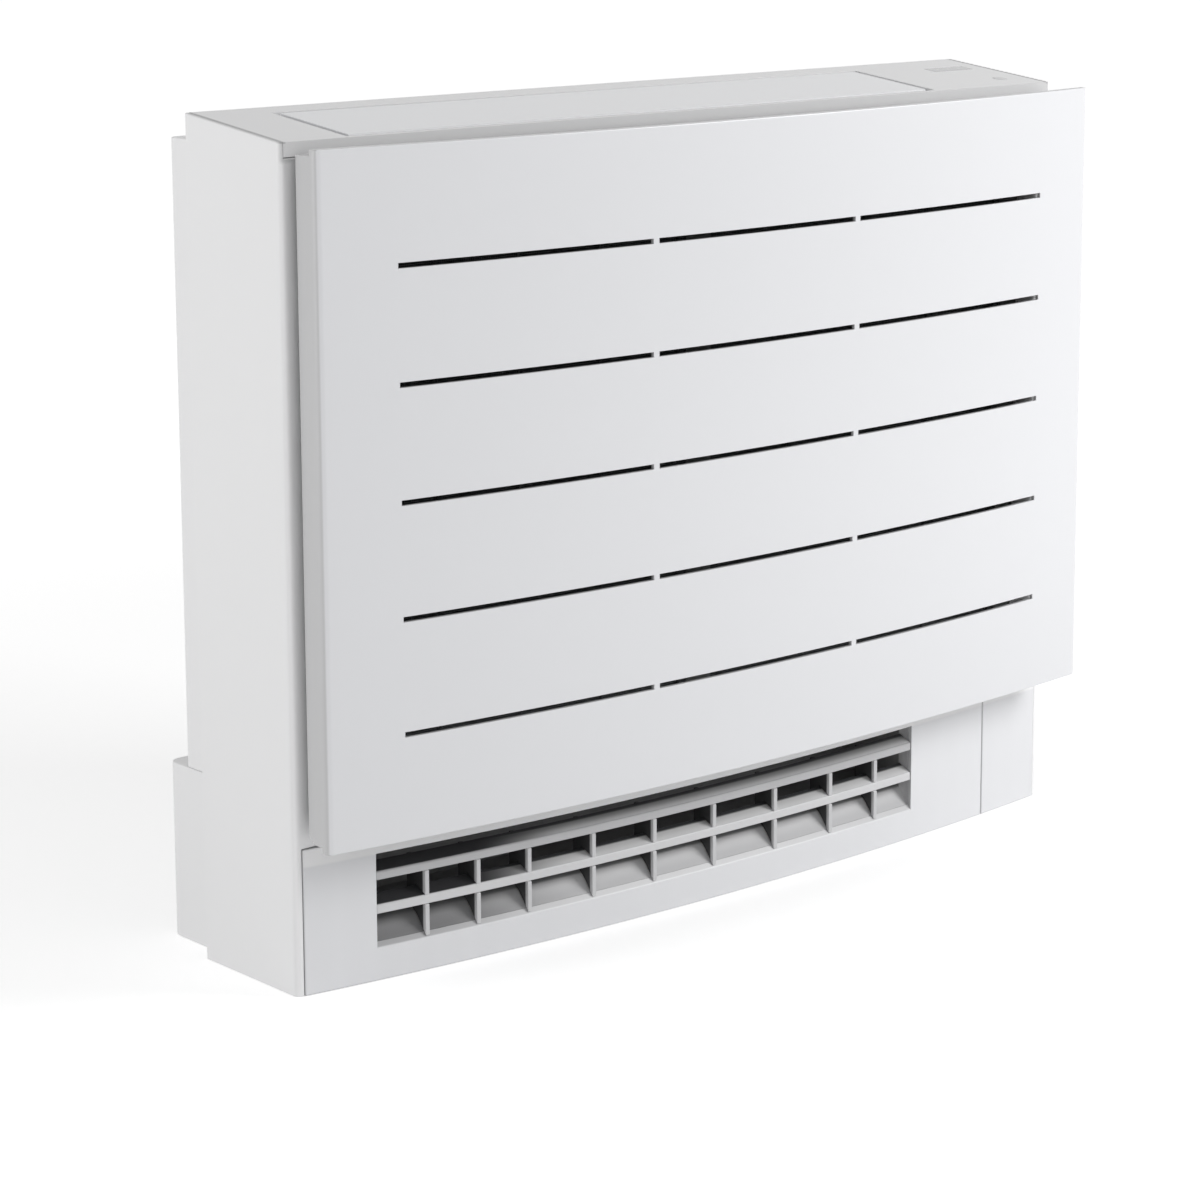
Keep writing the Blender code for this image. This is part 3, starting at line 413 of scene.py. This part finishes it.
def screw_head(radius):
    """A pan head with a cross recess, standing on Z = 0."""
    head = bmesh.new()
    height, arm, width = radius * 0.5, radius * 0.52, radius * 0.13
    bmesh.ops.create_cone(head, cap_ends=True, segments=20, radius1=radius, radius2=radius * 0.8,
                          depth=height, matrix=Matrix.Translation((0, 0, height / 2)))
    for normal in (Vector((1, 0, 0)), Vector((0, 1, 0))):
        for offset in (-arm, -width, width, arm):
            top = [face for face in head.faces if face.normal.z > 0.9]
            corners = [vertex for face in top for vertex in face.verts]
            sides = [edge for face in top for edge in face.edges]
            bmesh.ops.bisect_plane(head, geom=list(set(top + corners + sides)), plane_co=normal * offset,
                                   plane_no=normal)
    cross = []
    for face in head.faces:
        centre = face.calc_center_median()
        near, far = sorted((abs(centre.x), abs(centre.y)))
        if face.normal.z > 0.9 and near < width and far < arm:
            cross.append(face)
    sunk = bmesh.ops.extrude_face_region(head, geom=cross)["geom"]
    bmesh.ops.delete(head, geom=[face for face in cross if face.is_valid], context="FACES_ONLY")
    bottom = [item for item in sunk if isinstance(item, bmesh.types.BMVert)]
    bmesh.ops.translate(head, verts=bottom, vec=(0, 0, -height * 0.6))
    mesh = bpy.data.meshes.new("screw_head")
    head.to_mesh(mesh)
    head.free()
    return mesh


def screws(name, places, facing, radius, material):
    """Screws on a face that looks to the front or the rear."""
    shape = bmesh.new()
    head = screw_head(radius)
    turn = Matrix.Rotation(math.radians(90 if facing == "front" else -90), 4, "X")
    for place in places:
        earlier = len(shape.verts)
        shape.from_mesh(head)
        added = list(shape.verts)[earlier:]
        bmesh.ops.transform(shape, matrix=Matrix.Translation(place) @ turn, verts=added)
    bpy.data.meshes.remove(head)
    return finish_piece(name, shape, material, "unit", 0.0002, 2)


def point_lamp(lamp, target):
    lamp.rotation_euler = (Vector(target) - lamp.location).to_track_quat("-Z", "Y").to_euler()


def soft_box(name, place, target, width, height, power):
    light = bpy.data.lights.new(name, "AREA")
    light.shape = "RECTANGLE"
    light.size = width
    light.size_y = height
    light.energy = power
    lamp = bpy.data.objects.new(name, light)
    bpy.context.scene.collection.objects.link(lamp)
    lamp.location = place
    point_lamp(lamp, target)


def studio():
    """A pale floor, whose glow is less round the object so that its shadow shows, a surround and lamps."""
    shape = bmesh.new()
    bmesh.ops.create_grid(shape, x_segments=1, y_segments=1, size=30.0)
    mesh = bpy.data.meshes.new("floor")
    shape.to_mesh(mesh)
    shape.free()
    ground = bpy.data.objects.new("floor", mesh)
    bpy.context.scene.collection.objects.link(ground)
    pale = Finish("pale_floor", Roughness=0.9, Specular_IOR_Level=0.2)
    drift = pale.noise(0.6)
    pale.set("Base Color", pale.blend(drift, (0.88, 0.88, 0.88), (0.90, 0.90, 0.90)))
    seen = pale.add("ShaderNodeLightPath", {}, {}, "Is Camera Ray")
    mirrored = pale.add("ShaderNodeLightPath", {}, {}, "Is Glossy Ray")
    away = pale.ramp((pale.x * pale.x + pale.y * pale.y) ** 0.5, 0.7, 2.2)
    glow = pale.blend(away, (0.66, 0.66, 0.66), (1.0, 1.0, 1.0))
    pale.set("Emission Color", pale.blend(seen.largest(mirrored), (0.0, 0.0, 0.0), glow))
    pale.set("Emission Strength", FLOOR_GLOW)
    mesh.materials.append(pale.material)

    world = bpy.data.worlds.new("surround")
    bpy.context.scene.world = world
    world.use_nodes = True
    tree = world.node_tree
    background = tree.nodes["Background"]
    path = tree.nodes.new("ShaderNodeLightPath")
    seen = tree.nodes.new("ShaderNodeMath")
    seen.operation = "MAXIMUM"
    tree.links.new(path.outputs["Is Camera Ray"], seen.inputs[0])
    tree.links.new(path.outputs["Is Glossy Ray"], seen.inputs[1])
    level = tree.nodes.new("ShaderNodeMapRange")
    level.inputs["To Min"].default_value = WORLD_LIGHT
    level.inputs["To Max"].default_value = 1.0
    tree.links.new(seen.outputs[0], level.inputs["Value"])
    tree.links.new(level.outputs["Result"], background.inputs["Strength"])
    background.inputs["Color"].default_value = (1.0, 1.0, 1.0, 1.0)

    soft_box("right_lamp", (1.5, -1.5, 1.3), (0.1, -0.1, 0.25), 1.0, 1.0, RIGHT_LAMP_POWER)
    soft_box("left_lamp", (-2.6, 0.35, 0.9), (-HALF_WIDTH, 0.0, 0.3), 1.6, 1.6, LEFT_LAMP_POWER)


def camera():
    """Stands to the front left and looks down a little; the small shift frames the upright picture."""
    azimuth, dip, lean = (math.radians(angle) for angle in (CAMERA_AZIMUTH, CAMERA_DIP, CAMERA_LEAN))
    ahead = Vector((math.sin(azimuth) * math.cos(dip), math.cos(azimuth) * math.cos(dip), -math.sin(dip)))
    right = Vector((math.cos(azimuth), -math.sin(azimuth), 0.0))
    up = right.cross(ahead)
    across = right * math.cos(lean) + up * math.sin(lean)
    upward = up * math.cos(lean) - right * math.sin(lean)
    data = bpy.data.cameras.new("camera")
    data.sensor_width = 36.0
    data.lens = CAMERA_LENS
    data.shift_y = CAMERA_SHIFT
    data.clip_start = 0.05
    data.clip_end = 100.0
    view = bpy.data.objects.new("camera", data)
    bpy.context.scene.collection.objects.link(view)
    turn = Matrix((across, upward, -ahead)).transposed()
    view.matrix_world = Matrix.Translation(CAMERA_PLACE) @ turn.to_4x4()
    bpy.context.scene.camera = view


bpy.context.scene.view_settings.view_transform = "Standard"
camera()
studio()

body = body_plastic()
lower_cover = lower_cover_plastic()
grey = grey_plastic()
frame_grey = frame_plastic()
rib = rib_plastic()
vane = vane_plastic()
net = filter_mesh()
pipe_cover = pipe_cover_plastic()
steel = screw_steel()

round_off("front_panel", panel_plastic(), 0.0006, "panel")
round_off("top_flap", flap_plastic(), 0.0005, "flap")
for node in ("left_side_cover", "right_side_cover", "top_cover", "rear_chassis", "rear_foot"):
    round_off(node, body, 0.0011)
for node in ("lower_front_cover", "lower_corner_cover"):
    round_off(node, lower_cover, 0.0005)
# The upper bar is a darker copy of the lower one: its levels are painted shade from the panel above.
round_off("outlet_bar_upper", bar_plastic("upper_bar_painted_shade", 0.58, 0.30), 0.0005)
round_off("outlet_bar_lower", bar_plastic("lower_bar_plastic", 0.72, 0.72), 0.0005)
for number in range(1, 10):
    round_off(f"outlet_rib_{number}", rib, 0.0004)
for node in ("left_hinge_bracket", "right_hinge_bracket"):
    round_off(node, body, 0.0004)
for node in ("left_pipe_cover", "right_pipe_cover"):
    round_off(node, pipe_cover, 0.0003)
round_off("intake_frame", frame_grey, 0.0006)
for node in ("left_panel_latch", "right_panel_latch", "bottom_plate"):
    round_off(node, grey, 0.0005)
round_off("operation_button", button_plastic(), 0.0005)
for number in range(1, 9):
    round_off(f"upper_vane_{number}", vane, 0.0003)
round_off("outlet_duct", duct_plastic(), 0.0004)
round_off("upper_outlet", trough_plastic(), 0.0004)
round_off("control_display", display_glass(), 0.0003)
for node in ("left_air_filter", "right_air_filter"):
    round_off(node, net, 0.0002)

for side, word in ((-1, "left"), (1, "right")):
    chassis = [(side * CHASSIS_SCREW_X, CHASSIS_REAR_Y, z) for z in CHASSIS_SCREW_Z]
    screws(f"{word}_chassis_screws", chassis, "rear", CHASSIS_SCREW_RADIUS, steel)
    lip = [(side * COVER_SCREW_X, COVER_REAR_Y, z) for z in COVER_SCREW_Z]
    screws(f"{word}_cover_screws", lip, "rear", COVER_SCREW_RADIUS, steel)
    intake = [(side * INTAKE_SCREW_X, INTAKE_FRONT_Y, z) for z in INTAKE_SCREW_Z]
    screws(f"{word}_intake_screws", intake, "front", INTAKE_SCREW_RADIUS, steel)
middle = [(0.0, INTAKE_FRONT_Y, z) for z in INTAKE_SCREW_Z[::2]]
screws("middle_intake_screws", middle, "front", INTAKE_SCREW_RADIUS, steel)
